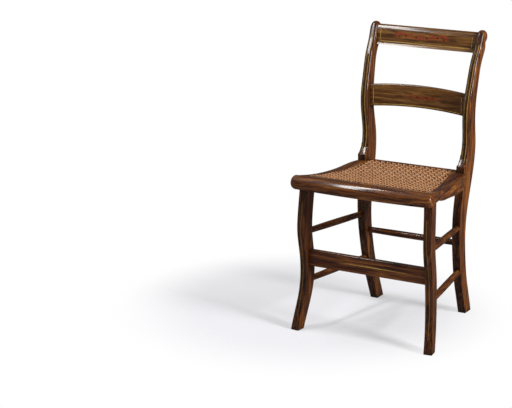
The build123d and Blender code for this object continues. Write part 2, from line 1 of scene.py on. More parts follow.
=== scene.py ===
# %% [markdown]
# # A painted and stencilled side chair
#
# The chair is a late painted "fancy" chair. Its maple and poplar frame was painted red-brown, grained
# with a darker glaze, striped in ochre, stencilled with bronze powders and varnished. The seat is
# hand-woven cane. The frame's shapes are finished solids already, so this lesson gives them their paint,
# adds the hollow flares above the knees, and weaves the cane, because a plain sheet could never show the
# light between the strands.

# %% The fixed frame
import math
import bpy
import bmesh
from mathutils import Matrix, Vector


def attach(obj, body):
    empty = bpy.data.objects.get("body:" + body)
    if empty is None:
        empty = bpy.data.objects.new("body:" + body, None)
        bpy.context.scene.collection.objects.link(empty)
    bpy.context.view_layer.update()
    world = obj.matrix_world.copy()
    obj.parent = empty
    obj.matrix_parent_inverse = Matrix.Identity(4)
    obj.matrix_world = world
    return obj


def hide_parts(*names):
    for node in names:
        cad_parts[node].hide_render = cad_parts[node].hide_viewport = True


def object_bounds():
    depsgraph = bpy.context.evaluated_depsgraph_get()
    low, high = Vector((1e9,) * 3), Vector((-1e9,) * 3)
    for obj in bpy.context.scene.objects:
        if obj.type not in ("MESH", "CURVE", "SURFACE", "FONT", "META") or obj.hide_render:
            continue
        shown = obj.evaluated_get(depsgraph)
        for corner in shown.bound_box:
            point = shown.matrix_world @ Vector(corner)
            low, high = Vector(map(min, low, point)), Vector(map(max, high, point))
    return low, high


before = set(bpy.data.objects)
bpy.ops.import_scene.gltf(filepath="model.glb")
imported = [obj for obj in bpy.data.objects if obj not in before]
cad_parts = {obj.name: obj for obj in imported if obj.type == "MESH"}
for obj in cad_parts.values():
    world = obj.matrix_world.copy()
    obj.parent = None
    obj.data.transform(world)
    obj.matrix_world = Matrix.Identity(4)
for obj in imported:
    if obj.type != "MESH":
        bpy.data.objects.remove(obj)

MM = 0.001
cad_low, cad_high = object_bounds()
print("nodes", len(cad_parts), "size in mm", [round(x / MM, 1) for x in cad_high - cad_low])

# %% [markdown]
# ## The camera
#
# A chair is looked at from a standing person's height, from a little to its right, with a long lens that
# keeps its lines nearly parallel. The camera stands where that view has the chair to the right of the
# middle.

# %% Camera
CAMERA_PLACE = (2.0463, -4.3143, 1.6469)
CAMERA_AIM = (-0.48410, 0.83518, -0.26101)
CAMERA_LENS = 120.6

camera_data = bpy.data.cameras.new("camera")
camera_data.lens = CAMERA_LENS
camera_data.sensor_width = 36.0
camera = bpy.data.objects.new("camera", camera_data)
bpy.context.scene.collection.objects.link(camera)
camera.location = CAMERA_PLACE
camera.rotation_euler = Vector(CAMERA_AIM).to_track_quat("-Z", "Y").to_euler()
bpy.context.scene.camera = camera
print("camera at", [round(x, 2) for x in camera.location])


# %% [markdown]
# ## Working with operators
#
# Every new piece starts from a primitive and is shaped in edit mode. Operators act on all that is
# selected, so one helper starts each piece with nothing else selected, and another selects by place.

# %% Helpers for modelling
def start(kind, name, **settings):
    """Adds a primitive with nothing else selected, names it and goes into edit mode."""
    if bpy.context.mode != "OBJECT":
        bpy.ops.object.mode_set(mode="OBJECT")
    bpy.ops.object.select_all(action="DESELECT")
    getattr(bpy.ops.mesh, "primitive_" + kind + "_add")(**settings)
    piece = bpy.context.object
    piece.name = piece.data.name = name
    bpy.ops.object.transform_apply(location=True, rotation=True, scale=True)
    bpy.ops.object.mode_set(mode="EDIT")
    return piece


def choose(piece, kind, wanted):
    """Selects the verts, edges or faces whose middle passes the test, and nothing else."""
    bpy.ops.mesh.select_mode(type=kind)
    bpy.ops.mesh.select_all(action="DESELECT")
    mesh = bmesh.from_edit_mesh(piece.data)
    for item in {"VERT": mesh.verts, "EDGE": mesh.edges, "FACE": mesh.faces}[kind]:
        corners = [item] if kind == "VERT" else item.verts
        middle = sum((corner.co for corner in corners), Vector()) / len(corners)
        item.select_set(wanted(middle))
    mesh.select_flush_mode()
    bmesh.update_edit_mesh(piece.data)


def only(piece):
    """Back to object mode, with this piece alone selected and active."""
    if bpy.context.mode != "OBJECT":
        bpy.ops.object.mode_set(mode="OBJECT")
    bpy.ops.object.select_all(action="DESELECT")
    piece.select_set(True)
    bpy.context.view_layer.objects.active = piece


def finish_with(piece, kind, **settings):
    """Adds a modifier and applies it."""
    only(piece)
    modifier = piece.modifiers.new(kind.lower(), kind)
    for name, value in settings.items():
        setattr(modifier, name, value)
    bpy.ops.object.modifier_apply(modifier=modifier.name)


WELD_GAP = 0.02 * MM


def repeat(piece, step, count):
    """Copies the whole piece count times, each one step further on, and welds what meets."""
    finish_with(piece, "ARRAY", use_relative_offset=False, use_constant_offset=True,
                constant_offset_displace=step, count=count, use_merge_vertices=True,
                merge_threshold=WELD_GAP)


def shift(piece, move):
    """Moves all of a piece's mesh, while its own place stays at the origin."""
    only(piece)
    bpy.ops.object.mode_set(mode="EDIT")
    bpy.ops.mesh.select_all(action="SELECT")
    bpy.ops.transform.translate(value=move)
    only(piece)


# %% [markdown]
# ## The floor and the light
#
# The stage is a white paper sweep. Round the chair, under it and a little to its left, the eye sees the
# lit grey paper with the chair's soft shadow on it, a zone of painted shade as well as real shadow, and
# away from there the eye sees plain white. The studio is dark to the varnish, so it reflects only the
# lamps, and edges stay deep. A softbox to the right is the main light and throws the shadows; it is
# hidden from the varnish, where it would burn white spots, and a weaker tall one beside it draws the
# glints. A narrow strip overhead on the left draws the pale band on the crest's roll, and a tall narrow
# one on the left draws the lines down the rounded stiles.

# %% Helpers for materials
def linear(hex_colour):
    """An sRGB hex colour as linear RGBA."""
    parts = [int(hex_colour[i:i + 2], 16) / 255 for i in (1, 3, 5)]
    return tuple(c / 12.92 if c <= 0.04045 else ((c + 0.055) / 1.055) ** 2.4 for c in parts) + (1.0,)


def add_node(tree, kind, feeds=None, out=0, stops=(), **settings):
    """Adds a shader node with its settings, feeds its inputs with values or links, and gives an output.

    The stops of a colour ramp are (position, hex colour), its two ends first. A MapRange takes the
    value as input 0, the range it comes from as 1 and 2, and the range it goes to as 3 and 4. A Mix of
    colours takes the two colours as 6 and 7, and gives the mixed one as its output 2.
    """
    made = tree.nodes.new("ShaderNode" + kind)
    for i, (position, hex_colour) in enumerate(stops):
        element = made.color_ramp.elements[i] if i < 2 else made.color_ramp.elements.new(position)
        element.position, element.color = position, linear(hex_colour)
    for name, value in settings.items():
        setattr(made, name, value)
    for where, value in (feeds or {}).items():
        if isinstance(value, bpy.types.NodeSocket):
            tree.links.new(value, made.inputs[where])
        else:
            made.inputs[where].default_value = value
    return made.outputs[out]


def new_material(name):
    """An empty material, its node tree and its output's surface socket."""
    material = bpy.data.materials.new(name)
    material.use_nodes = True
    material.node_tree.nodes.clear()
    output = material.node_tree.nodes.new("ShaderNodeOutputMaterial")
    return material, material.node_tree, output.inputs["Surface"]


def x_and_z(tree, place):
    """A point's place across the chair and its height."""
    return [add_node(tree, "SeparateXYZ", {0: place}, out=axis) for axis in "XZ"]


def eye_and_gloss(tree):
    """One for what the eye sees, also through clear things, and one for what a gloss reflects."""
    camera_ray = add_node(tree, "LightPath", out="Is Camera Ray")
    clear_ray = add_node(tree, "LightPath", out="Is Transmission Ray")
    seen = add_node(tree, "Math", {0: camera_ray, 1: clear_ray}, operation="MAXIMUM")
    return seen, add_node(tree, "LightPath", out="Is Glossy Ray")


# %% Paper sweep
SWEEP = 8.0
WHITE = (1, 1, 1, 1)
PAPER = "#d9d9e0"
SHADOW_MIDDLE = (-0.27, 0.0, 0.0)
SHADOW_NEAR = 0.3
SHADOW_FAR = 0.62
SHADOW_LIFT = 0.41
GLOSS_LEVEL = 0.05
sweep = start("plane", "paper_sweep", size=2 * SWEEP, location=(0, 0, 0))
only(sweep)

paper, tree, surface = new_material("white_paper")
seen, reflected = eye_and_gloss(tree)
place = add_node(tree, "TexCoord", out="Object")
# painted shade: near this middle the eye sees the grey paper, further off the white that hides it
moved = add_node(tree, "VectorMath", {0: place, 1: SHADOW_MIDDLE}, operation="SUBTRACT")
far = add_node(tree, "VectorMath", {0: moved}, out="Value", operation="LENGTH")
fade = add_node(tree, "MapRange", {0: far, 1: SHADOW_NEAR, 2: SHADOW_FAR, 3: SHADOW_LIFT},
                interpolation_type="SMOOTHSTEP")
fade = add_node(tree, "Math", {0: fade, 1: seen}, operation="MULTIPLY")
dull = add_node(tree, "BsdfDiffuse", {"Color": linear(PAPER)})
bright = add_node(tree, "Emission", {"Color": WHITE, "Strength": 1.0})
dim = add_node(tree, "Emission", {"Color": WHITE, "Strength": GLOSS_LEVEL})
paper_look = add_node(tree, "MixShader", {0: fade, 1: dull, 2: bright})
tree.links.new(add_node(tree, "MixShader", {0: reflected, 1: paper_look, 2: dim}), surface)
sweep.data.materials.append(paper)
print(sweep.name, "in", paper.name, "is", 2 * SWEEP, "m wide, with plain white from", SHADOW_FAR, "m on")

# %% Surroundings: white to the eye, dim in the varnish
WORLD_FILL = 0.2
world = bpy.data.worlds.new("studio")
bpy.context.scene.world = world
world.use_nodes = True
tree = world.node_tree
tree.nodes.clear()
seen, reflected = eye_and_gloss(tree)
dim = add_node(tree, "MapRange", {0: reflected, 3: WORLD_FILL, 4: GLOSS_LEVEL})
level = add_node(tree, "Mix", {"Factor": seen, "A": dim, "B": 1.0})
shine = add_node(tree, "Background", {"Color": WHITE, "Strength": level})
output = tree.nodes.new("ShaderNodeOutputWorld")
tree.links.new(shine, output.inputs["Surface"])
bpy.context.scene.view_settings.view_transform = "Standard"
print(world.name, "fills with", WORLD_FILL, "and shows", GLOSS_LEVEL, "to the varnish")


# %% Softboxes
def softbox(name, place, size, watts, aim=None, turn=(0, 0, 0)):
    """A rectangular lamp that points at a spot or, without one, down and turned by degrees."""
    data = bpy.data.lights.new(name, "AREA")
    data.shape = "RECTANGLE"
    data.size, data.size_y = size
    data.energy = watts
    lamp = bpy.data.objects.new(name, data)
    bpy.context.scene.collection.objects.link(lamp)
    lamp.location = place
    lamp.rotation_euler = [math.radians(angle) for angle in turn]
    if aim:
        lamp.rotation_euler = (Vector(aim) - Vector(place)).to_track_quat("-Z", "Y").to_euler()
    return lamp


key = softbox("key_softbox", place=(2.8, -0.5, 1.75), size=(0.8, 0.8), watts=135, aim=(0, 0, 0.4))
key.visible_glossy = False
glint = softbox("glint_softbox", place=(2.8, -0.8, 1.6), size=(0.5, 1.3), watts=42, aim=(0, 0, 0.4))
glint.visible_diffuse = False
softbox("overhead_strip", place=(-1.0, -0.95, 2.2), size=(0.28, 2.1), watts=38, turn=(0, 25, -15))
softbox("left_softbox", place=(-2.3, -0.5, 1.0), size=(0.3, 1.5), watts=4, aim=(0, 0, 0.5))


# %% [markdown]
# ## Grained paint
#
# The frame was painted iron red, then a thin dark glaze was dragged over it with a brush or comb, and
# amber varnish over all made it glossy. The eye sees long streaks of dark and golden brown that follow
# each piece and slightly worn arrises. The crest and the slat have a lighter, more golden ground.
# Stretched noise gives the streaks, and the Bevel node finds the arrises without touching the solid.
# Ambient occlusion paints shade into the corners, nearly to black, and the fronts of the stiles and legs
# are painted darker than their sides, as painted shade.

# %% Colours of the paint
FRAME_TONES = [(0.0, "#200d07"), (1.0, "#986027"), (0.34, "#4a2410"), (0.70, "#704017")]
LEG_TONES = [(0.0, "#1b0a06"), (1.0, "#84501f"), (0.34, "#41200f"), (0.70, "#643815")]
PANEL_TONES = [(0.0, "#3b220a"), (1.0, "#936c32"), (0.35, "#593615"), (0.68, "#734e23")]
# painted shade: the share of the colour left on the front faces of the stiles and of the legs
STILE_FRONT_SHADE = 0.45
LEG_FRONT_SHADE = 0.66
WORN_EDGE = "#8f6233"
STRIPE = "#c2a052"
STREAK_WIDTH = 8.0 * MM
STREAK_LENGTH = 170.0 * MM
FINE_WIDTH = STREAK_WIDTH / 6
FINE_LENGTH = STREAK_LENGTH / 3
ARRIS_RADIUS = 1.6 * MM
PATCH_SIZE = 30 * MM
# how far the painted shade reaches out of corners and from between parts
SHADE_REACH = 22 * MM
GRIT_HEIGHT = 0.3 * MM
GRIT_STRENGTH = 0.04


def streak(grain, width, length):
    """The scale at which a streak of that width and length along one axis is about one unit each way."""
    scale = [1 / width] * 3
    scale["XYZ".index(grain)] = 1 / length
    return scale


def grained_paint(name, grain, tones=FRAME_TONES, decorate=None, shift=(0, 0, 0)):
    """Streaked glaze along one axis under varnish; decorate paints over it before the varnish."""
    material, tree, surface = new_material(name)
    place = add_node(tree, "TexCoord", out="Object")
    moved = add_node(tree, "VectorMath", {0: place, 1: shift}, operation="ADD")
    broad_place = add_node(tree, "Mapping", {
        "Vector": moved, "Scale": streak(grain, STREAK_WIDTH, STREAK_LENGTH)})
    broad = add_node(tree, "TexNoise", {"Vector": broad_place, "Scale": 1.0, "Detail": 3.0,
                                        "Roughness": 0.6, "Distortion": 0.8})
    fine_place = add_node(tree, "Mapping", {
        "Vector": moved, "Scale": streak(grain, FINE_WIDTH, FINE_LENGTH)})
    fine = add_node(tree, "TexNoise", {"Vector": fine_place, "Scale": 1.0, "Detail": 2.0})
    mixed = add_node(tree, "Math", {0: fine, 1: 0.3, 2: broad}, operation="MULTIPLY_ADD")
    spread = add_node(tree, "MapRange", {0: mixed, 1: 0.44, 2: 0.88})
    colour = add_node(tree, "ValToRGB", {0: spread}, stops=tones)

    soft_normal = add_node(tree, "Bevel", {"Radius": ARRIS_RADIUS}, samples=4)
    true_normal = add_node(tree, "NewGeometry", out="True Normal")
    bend = add_node(tree, "VectorMath", {0: soft_normal, 1: true_normal}, out="Value",
                    operation="DOT_PRODUCT")
    patchy = add_node(tree, "TexNoise", {"Vector": place, "Scale": 1 / PATCH_SIZE, "Detail": 3.0})
    worn = add_node(tree, "MapRange", {0: bend, 1: 0.97, 2: 0.8, 3: 0.0, 4: 0.55})
    worn = add_node(tree, "Math", {0: worn, 1: patchy}, operation="MULTIPLY")
    colour = add_node(tree, "Mix", {"Factor": worn, 6: colour, 7: linear(WORN_EDGE)}, out=2,
                      data_type="RGBA")
    if decorate:
        colour = decorate(tree, place, colour)

    # painted shade: the colour is darkened, nearly to black, in corners and between parts where ambient
    # occlusion finds them
    corner = add_node(tree, "AmbientOcclusion", {"Distance": SHADE_REACH}, out="AO", samples=6)
    corner = add_node(tree, "MapRange", {0: corner, 1: 0.3, 2: 0.9, 3: 0.25, 4: 1.0})
    colour = add_node(tree, "VectorMath", {0: colour, 1: corner}, operation="MULTIPLY")
    rough = add_node(tree, "MapRange", {0: patchy, 1: 0.3, 2: 0.7, 3: 0.38, 4: 0.5})
    grit = add_node(tree, "TexNoise", {"Vector": fine_place, "Scale": 2.0, "Detail": 3.0})
    bump = add_node(tree, "Bump", {"Height": grit, "Strength": GRIT_STRENGTH, "Distance": GRIT_HEIGHT})
    shader = add_node(tree, "BsdfPrincipled", {
        "Base Color": colour, "Roughness": rough, "Normal": bump, "IOR": 1.5, "Specular IOR Level": 0.2,
        "Coat Weight": 0.9, "Coat Roughness": 0.12, "Coat IOR": 1.5})
    tree.links.new(shader, surface)
    return material


def give(material, *names):
    """Puts a material on CAD nodes."""
    for name in names:
        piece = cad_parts[name]
        for place in piece.material_slots:
            place.material = material
        if not piece.material_slots:
            piece.data.materials.append(material)
    print(material.name, "on", ", ".join(names))


# %% [markdown]
# ## Striping
#
# Ochre lines were pulled by hand with a long-haired striping brush: two down the front of each stile, one
# down each front leg, a tapered one along the front stretcher, and one up both ends and along the foot of
# the crest and the slat. A line is the set of points near a curve on the piece's front face, so the
# material measures how far each point is from that curve.

# %% Lines
LINE_WIDTH = 1.4 * MM
LINE_SOFTNESS = 0.15
LINE_FADE = 4 * MM
BRUSH_PATCH = 9 * MM
# the normal's Y where a front face begins, and where it is full
FRONT_BEGINS, FRONT_FULL = -0.45, -0.65


def near(tree, value, wanted):
    """One inside a line's width, nothing outside it, with a soft brush edge."""
    off = add_node(tree, "Math", {0: value, 1: wanted}, operation="SUBTRACT")
    off = add_node(tree, "Math", {0: off}, operation="ABSOLUTE")
    return add_node(tree, "MapRange", {
        0: off, 1: LINE_WIDTH * (0.5 + LINE_SOFTNESS), 2: LINE_WIDTH * (0.5 - LINE_SOFTNESS)})


def within(tree, value, low, high):
    """One between two limits, fading out towards both."""
    above = add_node(tree, "MapRange", {0: value, 1: low, 2: low + LINE_FADE})
    below = add_node(tree, "MapRange", {0: value, 1: high, 2: high - LINE_FADE})
    return add_node(tree, "Math", {0: above, 1: below}, operation="MULTIPLY")


def facing_front(tree):
    """One where the surface looks forwards."""
    normal = add_node(tree, "NewGeometry", out="Normal")
    forwards = add_node(tree, "SeparateXYZ", {0: normal}, out="Y")
    return add_node(tree, "MapRange", {0: forwards, 1: FRONT_BEGINS, 2: FRONT_FULL})


def front_shade(tree, colour, left):
    """Painted shade that darkens the front faces; left is the share of the colour that is left."""
    coats = add_node(tree, "MapRange", {0: facing_front(tree), 3: 1.0, 4: left})
    return add_node(tree, "VectorMath", {0: colour, 1: coats}, operation="MULTIPLY")


def painted_line(tree, colour, strength, *masks):
    """Lays the ochre line where all masks are one, thin and thick by turns as a brush leaves it."""
    place = add_node(tree, "TexCoord", out="Object")
    brushed = add_node(tree, "TexNoise", {"Vector": place, "Scale": 1 / BRUSH_PATCH, "Detail": 2.0})
    brushed = add_node(tree, "MapRange", {0: brushed, 1: 0.25, 2: 0.55, 3: 0.4 * strength, 4: strength})
    for mask in [facing_front(tree)] + list(masks):
        brushed = add_node(tree, "Math", {0: brushed, 1: mask}, operation="MULTIPLY")
    return add_node(tree, "Mix", {"Factor": brushed, 6: colour, 7: linear(STRIPE)}, out=2,
                    data_type="RGBA")


# %% Lines on the stiles
STILE_INNER_FOOT = 133.0 * MM
STILE_WIDTH = 24 * MM
STILE_SPREAD = 24 * MM      # how far the head stands outside the foot
STILE_LEAN = STILE_SPREAD / (cad_high[2] - cad_low[2])
STILE_LINE_INSET = 7.5 * MM
STILE_LINES = [STILE_LINE_INSET, STILE_WIDTH - STILE_LINE_INSET]
STILE_LINE_FOOT, STILE_LINE_TOP = 475 * MM, 810 * MM
STILE_LINE_STRENGTH = 0.7


def stile_lines(tree, place, colour):
    """Two lines that lean with the stile, about a third of its width in from either edge."""
    x, z = x_and_z(tree, place)
    inner = add_node(tree, "Math", {0: z, 1: STILE_LEAN, 2: STILE_INNER_FOOT}, operation="MULTIPLY_ADD")
    from_edge = add_node(tree, "Math", {0: x}, operation="ABSOLUTE")
    from_edge = add_node(tree, "Math", {0: from_edge, 1: inner}, operation="SUBTRACT")
    lines = [near(tree, from_edge, wanted) for wanted in STILE_LINES]
    mask = add_node(tree, "Math", {0: lines[0], 1: lines[1]}, operation="MAXIMUM")
    # painted shade on the stile's front faces
    colour = front_shade(tree, colour, STILE_FRONT_SHADE)
    in_length = within(tree, z, STILE_LINE_FOOT, STILE_LINE_TOP)
    return painted_line(tree, colour, STILE_LINE_STRENGTH, mask, in_length)


print("stile lines in mm", [round(inset / MM, 1) for inset in STILE_LINES], "from the inner edge")

# %% Lines on the front legs
# height above the floor and distance from the middle of the chair, in metres, the curve's two ends first
LEG_LINE = [(0.0, 0.2095), (1.0, 0.1925), (0.045, 0.2066), (0.100, 0.2025), (0.158, 0.1988),
            (0.215, 0.1975), (0.272, 0.1968), (0.330, 0.1945), (0.374, 0.1930)]
LEG_LINE_FOOT, LEG_LINE_TOP = 40 * MM, 385 * MM
LEG_LINE_STRENGTH = 0.36


def leg_line(tree, place, colour):
    """The line on a front leg follows the leg's own outward kick."""
    x, z = x_and_z(tree, place)
    curve = add_node(tree, "FloatCurve", {"Value": z})
    points = curve.node.mapping.curves[0].points
    for i, spot in enumerate(LEG_LINE):
        point = points[i] if i < 2 else points.new(*spot)
        point.location = spot
    curve.node.mapping.update()
    out = add_node(tree, "Math", {0: x}, operation="ABSOLUTE")
    # painted shade on the leg's front faces
    colour = front_shade(tree, colour, LEG_FRONT_SHADE)
    in_length = within(tree, z, LEG_LINE_FOOT, LEG_LINE_TOP)
    return painted_line(tree, colour, LEG_LINE_STRENGTH, near(tree, out, curve), in_length)


print("leg line from", round(LEG_LINE_FOOT / MM), "to", round(LEG_LINE_TOP / MM), "mm")


# %% [markdown]
# ## Stencilled fruit and leaves
#
# The stencils were cut from paper and bronze powder was rubbed through them onto tacky varnish: small
# round fruit with dark middles, pointed red leaves to both sides of them with some gold powder on them,
# and dusky foliage behind. The design here is a plain one of that kind. Each leaf is a pointed lens laid
# down at its own place and angle, and the two halves of the pattern mirror each other.

# %% Shapes of the stencil
STENCIL_RED = "#832c17"
STENCIL_GOLD = "#8f5228"
STENCIL_DARK = "#160805"
STENCIL_SHADE = "#3a2410"
POWDER_GRAIN = 5 * MM
SEED_SHARE = 0.6
# A leaf or shade is out from the middle, up from the middle, length, width (mm) and degrees. A fruit is
# out, up and size (mm).
CREST_LEAVES = [(0, 4, 34, 7, 0), (9, -5, 32, 7, -12), (31, -3, 26, 6, 18), (36, 5, 32, 7, -8),
                (46, -4, 24, 6, -14), (58, 3, 24, 6, 20), (68, 6, 32, 9, -6), (77, -2, 24, 5, -16),
                (82, 3, 20, 5, 0)]
CREST_SHADES = [(30, -12, 60, 6, 4), (96, -3, 46, 8, -4), (90, 9, 34, 5, 12), (8, 13, 40, 4, 0)]
CREST_FRUIT = [(17, -2, 10), (50, 1, 10), (70, -3, 9)]
SLAT_LEAVES = [(0, 4, 22, 5, 0), (7, -4, 26, 5, -10), (26, 3, 24, 5, -8), (27, -4, 22, 4, 14),
               (42, 0, 26, 5, 0), (53, 1, 20, 4, -8)]
SLAT_SHADES = [(22, -10, 52, 5, 3), (70, -2, 44, 6, -4), (46, 9, 36, 5, 6)]
SLAT_FRUIT = [(14, 0, 9), (36, 1, 7)]


print("leaves on the crest and the slat", len(CREST_LEAVES), "and", len(SLAT_LEAVES))


def lens(tree, across, out, up, length, width, degrees):
    """One inside a pointed lens shape on the stencil's plane."""
    own = add_node(tree, "Mapping", {
        "Vector": across, "Location": (out * MM, 0, up * MM), "Rotation": (0, -math.radians(degrees), 0),
        "Scale": (length / 2 * MM, 1, width / 2 * MM)}, vector_type="TEXTURE")
    along, beside = x_and_z(tree, own)
    beside = add_node(tree, "Math", {0: beside}, operation="ABSOLUTE")
    taken = add_node(tree, "Math", {0: along, 1: along, 2: beside}, operation="MULTIPLY_ADD")
    return add_node(tree, "MapRange", {0: taken, 1: 1.0, 2: 0.7})


def disc(tree, across, out, up, size):
    """One inside a round spot on the stencil's plane."""
    middle = (out * MM, 0, up * MM)
    away = add_node(tree, "VectorMath", {0: across, 1: middle}, out="Value", operation="DISTANCE")
    return add_node(tree, "MapRange", {0: away, 1: size / 2 * MM, 2: size / 2.8 * MM})


def print_on(tree, colour, hex_colour, masks, rubbed):
    """Lays a colour where any of the masks is one, as thin as it was rubbed."""
    mask = 0.0
    for other in masks:
        mask = add_node(tree, "Math", {0: mask, 1: other}, operation="MAXIMUM")
    mask = add_node(tree, "Math", {0: mask, 1: rubbed}, operation="MULTIPLY")
    return add_node(tree, "Mix", {"Factor": mask, 6: colour, 7: linear(hex_colour)}, out=2,
                    data_type="RGBA")


def stencil(tree, place, colour, middle, strength, leaves, shades, fruit):
    """Foliage, leaves and fruit about a middle point, rubbed thin here and there."""
    from_middle = add_node(tree, "VectorMath", {0: place, 1: (middle[0], 0, middle[1])},
                           operation="SUBTRACT")
    out, up = x_and_z(tree, from_middle)
    out = add_node(tree, "Math", {0: out}, operation="ABSOLUTE")
    across = add_node(tree, "CombineXYZ", {0: out, 2: up})
    powder = add_node(tree, "TexNoise", {"Vector": place, "Scale": 1 / POWDER_GRAIN, "Detail": 3.0,
                                         "Roughness": 0.7})
    rubbed = add_node(tree, "MapRange", {0: powder, 1: 0.34, 2: 0.58, 3: 0.45 * strength, 4: strength})
    front = facing_front(tree)
    rubbed = add_node(tree, "Math", {0: rubbed, 1: front}, operation="MULTIPLY")
    lit = add_node(tree, "MapRange", {0: powder, 1: 0.5, 2: 0.62, 3: 0.0, 4: 0.6})
    lit = add_node(tree, "Math", {0: lit, 1: front}, operation="MULTIPLY")
    red = [lens(tree, across, *one) for one in leaves]
    round_red = [disc(tree, across, *one) for one in fruit]
    colour = print_on(tree, colour, STENCIL_SHADE, [lens(tree, across, *one) for one in shades], rubbed)
    colour = print_on(tree, colour, STENCIL_RED, red + round_red, rubbed)
    colour = print_on(tree, colour, STENCIL_GOLD, red, lit)
    seeds = [disc(tree, across, out, up, size * SEED_SHARE) for out, up, size in fruit]
    return print_on(tree, colour, STENCIL_DARK, seeds, front)


# %% Crest, slat and stretcher
CREST_MIDDLE = (-13 * MM, 814.5 * MM)
CREST_BORDER = (145 * MM, 794 * MM, 829 * MM)
SLAT_MIDDLE = (14 * MM, 646 * MM)
SLAT_BORDER = (140 * MM, 608 * MM, 657 * MM)
SLAT_ARCH = 12 * MM
SLAT_HALF = 173 * MM
SLAT_STENCIL_STRENGTH = 0.85
STRETCHER_LINE_STRENGTH = 0.9
# out from the middle, height, length, width (mm) and degrees
STRETCHER_LINE = (27, 214, 250, 2.6, 0)


def border(tree, colour, x, z, side, low, high):
    """A line up both ends and along the foot of a panel."""
    out = add_node(tree, "Math", {0: x}, operation="ABSOLUTE")
    colour = painted_line(tree, colour, 1.0, near(tree, out, side), within(tree, z, low, high))
    return painted_line(tree, colour, 1.0, near(tree, z, low), within(tree, out, -side, side))


def crest_paint(tree, place, colour):
    """Stencil in the middle, border line at both ends and along the lower edge."""
    colour = stencil(tree, place, colour, CREST_MIDDLE, 1.0, CREST_LEAVES, CREST_SHADES, CREST_FRUIT)
    x, z = x_and_z(tree, place)
    return border(tree, colour, x, z, *CREST_BORDER)


def slat_paint(tree, place, colour):
    """Stencil in the middle, border line at both ends and along the arched lower edge."""
    colour = stencil(tree, place, colour, SLAT_MIDDLE, SLAT_STENCIL_STRENGTH, SLAT_LEAVES, SLAT_SHADES,
                     SLAT_FRUIT)
    x, z = x_and_z(tree, place)
    square = add_node(tree, "Math", {0: x, 1: 2.0}, operation="POWER")
    straight = add_node(tree, "Math", {0: square, 1: SLAT_ARCH / SLAT_HALF ** 2, 2: z},
                        operation="MULTIPLY_ADD")
    side, low, high = SLAT_BORDER
    return border(tree, colour, x, straight, side, low + SLAT_ARCH, high + SLAT_ARCH)


def stretcher_paint(tree, place, colour):
    """One long line that tapers to both ends, as a single pull of the brush."""
    return painted_line(tree, colour, STRETCHER_LINE_STRENGTH, lens(tree, place, *STRETCHER_LINE))


# %% Paint on the frame
stile_paint = grained_paint("grained_paint_stiles", "Z", FRAME_TONES, stile_lines)
give(stile_paint, "left_rear_post", "right_rear_post")
give(grained_paint("grained_paint_legs", "Z", LEG_TONES, leg_line, (0.3, 0.1, 0)),
     "left_front_leg", "right_front_leg")
give(grained_paint("grained_paint_rails", "X", FRAME_TONES, None, (0, 0, 0.2)),
     "front_seat_rail", "rear_seat_rail")
give(grained_paint("grained_paint_rear_stretcher", "X", LEG_TONES, None, (0, 0, 0.1)), "rear_stretcher")
give(grained_paint("grained_paint_front_stretcher", "X", FRAME_TONES, stretcher_paint, (0, 0, 0.5)),
     "front_stretcher")
give(grained_paint("grained_paint_side_rails", "Y", FRAME_TONES, None, (0.1, 0, 0.4)),
     "left_side_seat_rail", "right_side_seat_rail")
give(grained_paint("grained_paint_side_stretchers", "Y", LEG_TONES, None, (0.1, 0, 0.6)),
     "left_upper_side_stretcher", "right_upper_side_stretcher", "left_lower_side_stretcher",
     "right_lower_side_stretcher")
give(grained_paint("stencilled_paint_crest", "X", PANEL_TONES, crest_paint, (0, 0, 0.7)), "crest_rail")
give(grained_paint("stencilled_paint_slat", "X", PANEL_TONES, slat_paint, (0.4, 0, 0.9)), "back_slat")
give(grained_paint("painted_pin", "Y"),
     "left_crest_pin", "right_crest_pin", "left_slat_pin", "right_slat_pin")

# %% [markdown]
# ### Flared knees
#
# Above the square block of each knee the maker left some wood, and spokeshaved it to a hollow slope that
# runs up into the stile with rounded arrises. It is a box whose front is bevelled and drawn back row by
# row.

# %% Knee flares
FLARE_HEIGHT = 27 * MM
FLARE_HALF = 11.8 * MM
FLARE_ARRIS = 4 * MM
FLARE_ROWS = 8
FLARE_HOLLOW = 0.25             # how far the middle of the slope is drawn back, as a share of its depth
FLARE_SET_BACK = 0.6 * MM       # behind the front of the block
FLARE_TOP_SINK = 0.3 * MM       # of the slope's end into the stile
FLARE_FOOT_SINK = 1.5 * MM      # into the top of the block
FLARE_ROOT = 7 * MM             # of the back into the stile
FLARE_SMOOTH = math.radians(50)
LEDGE_INSET = 3.4 * MM          # where the block's top is felt for, behind the flare's front
KNEE_BLOCK_Z = 457 * MM
ABOVE_KNEE_Z = 500 * MM
FLARE_MIDDLE_Z = 480 * MM
KNEE_X = STILE_INNER_FOOT + STILE_LEAN * FLARE_MIDDLE_Z + STILE_WIDTH / 2


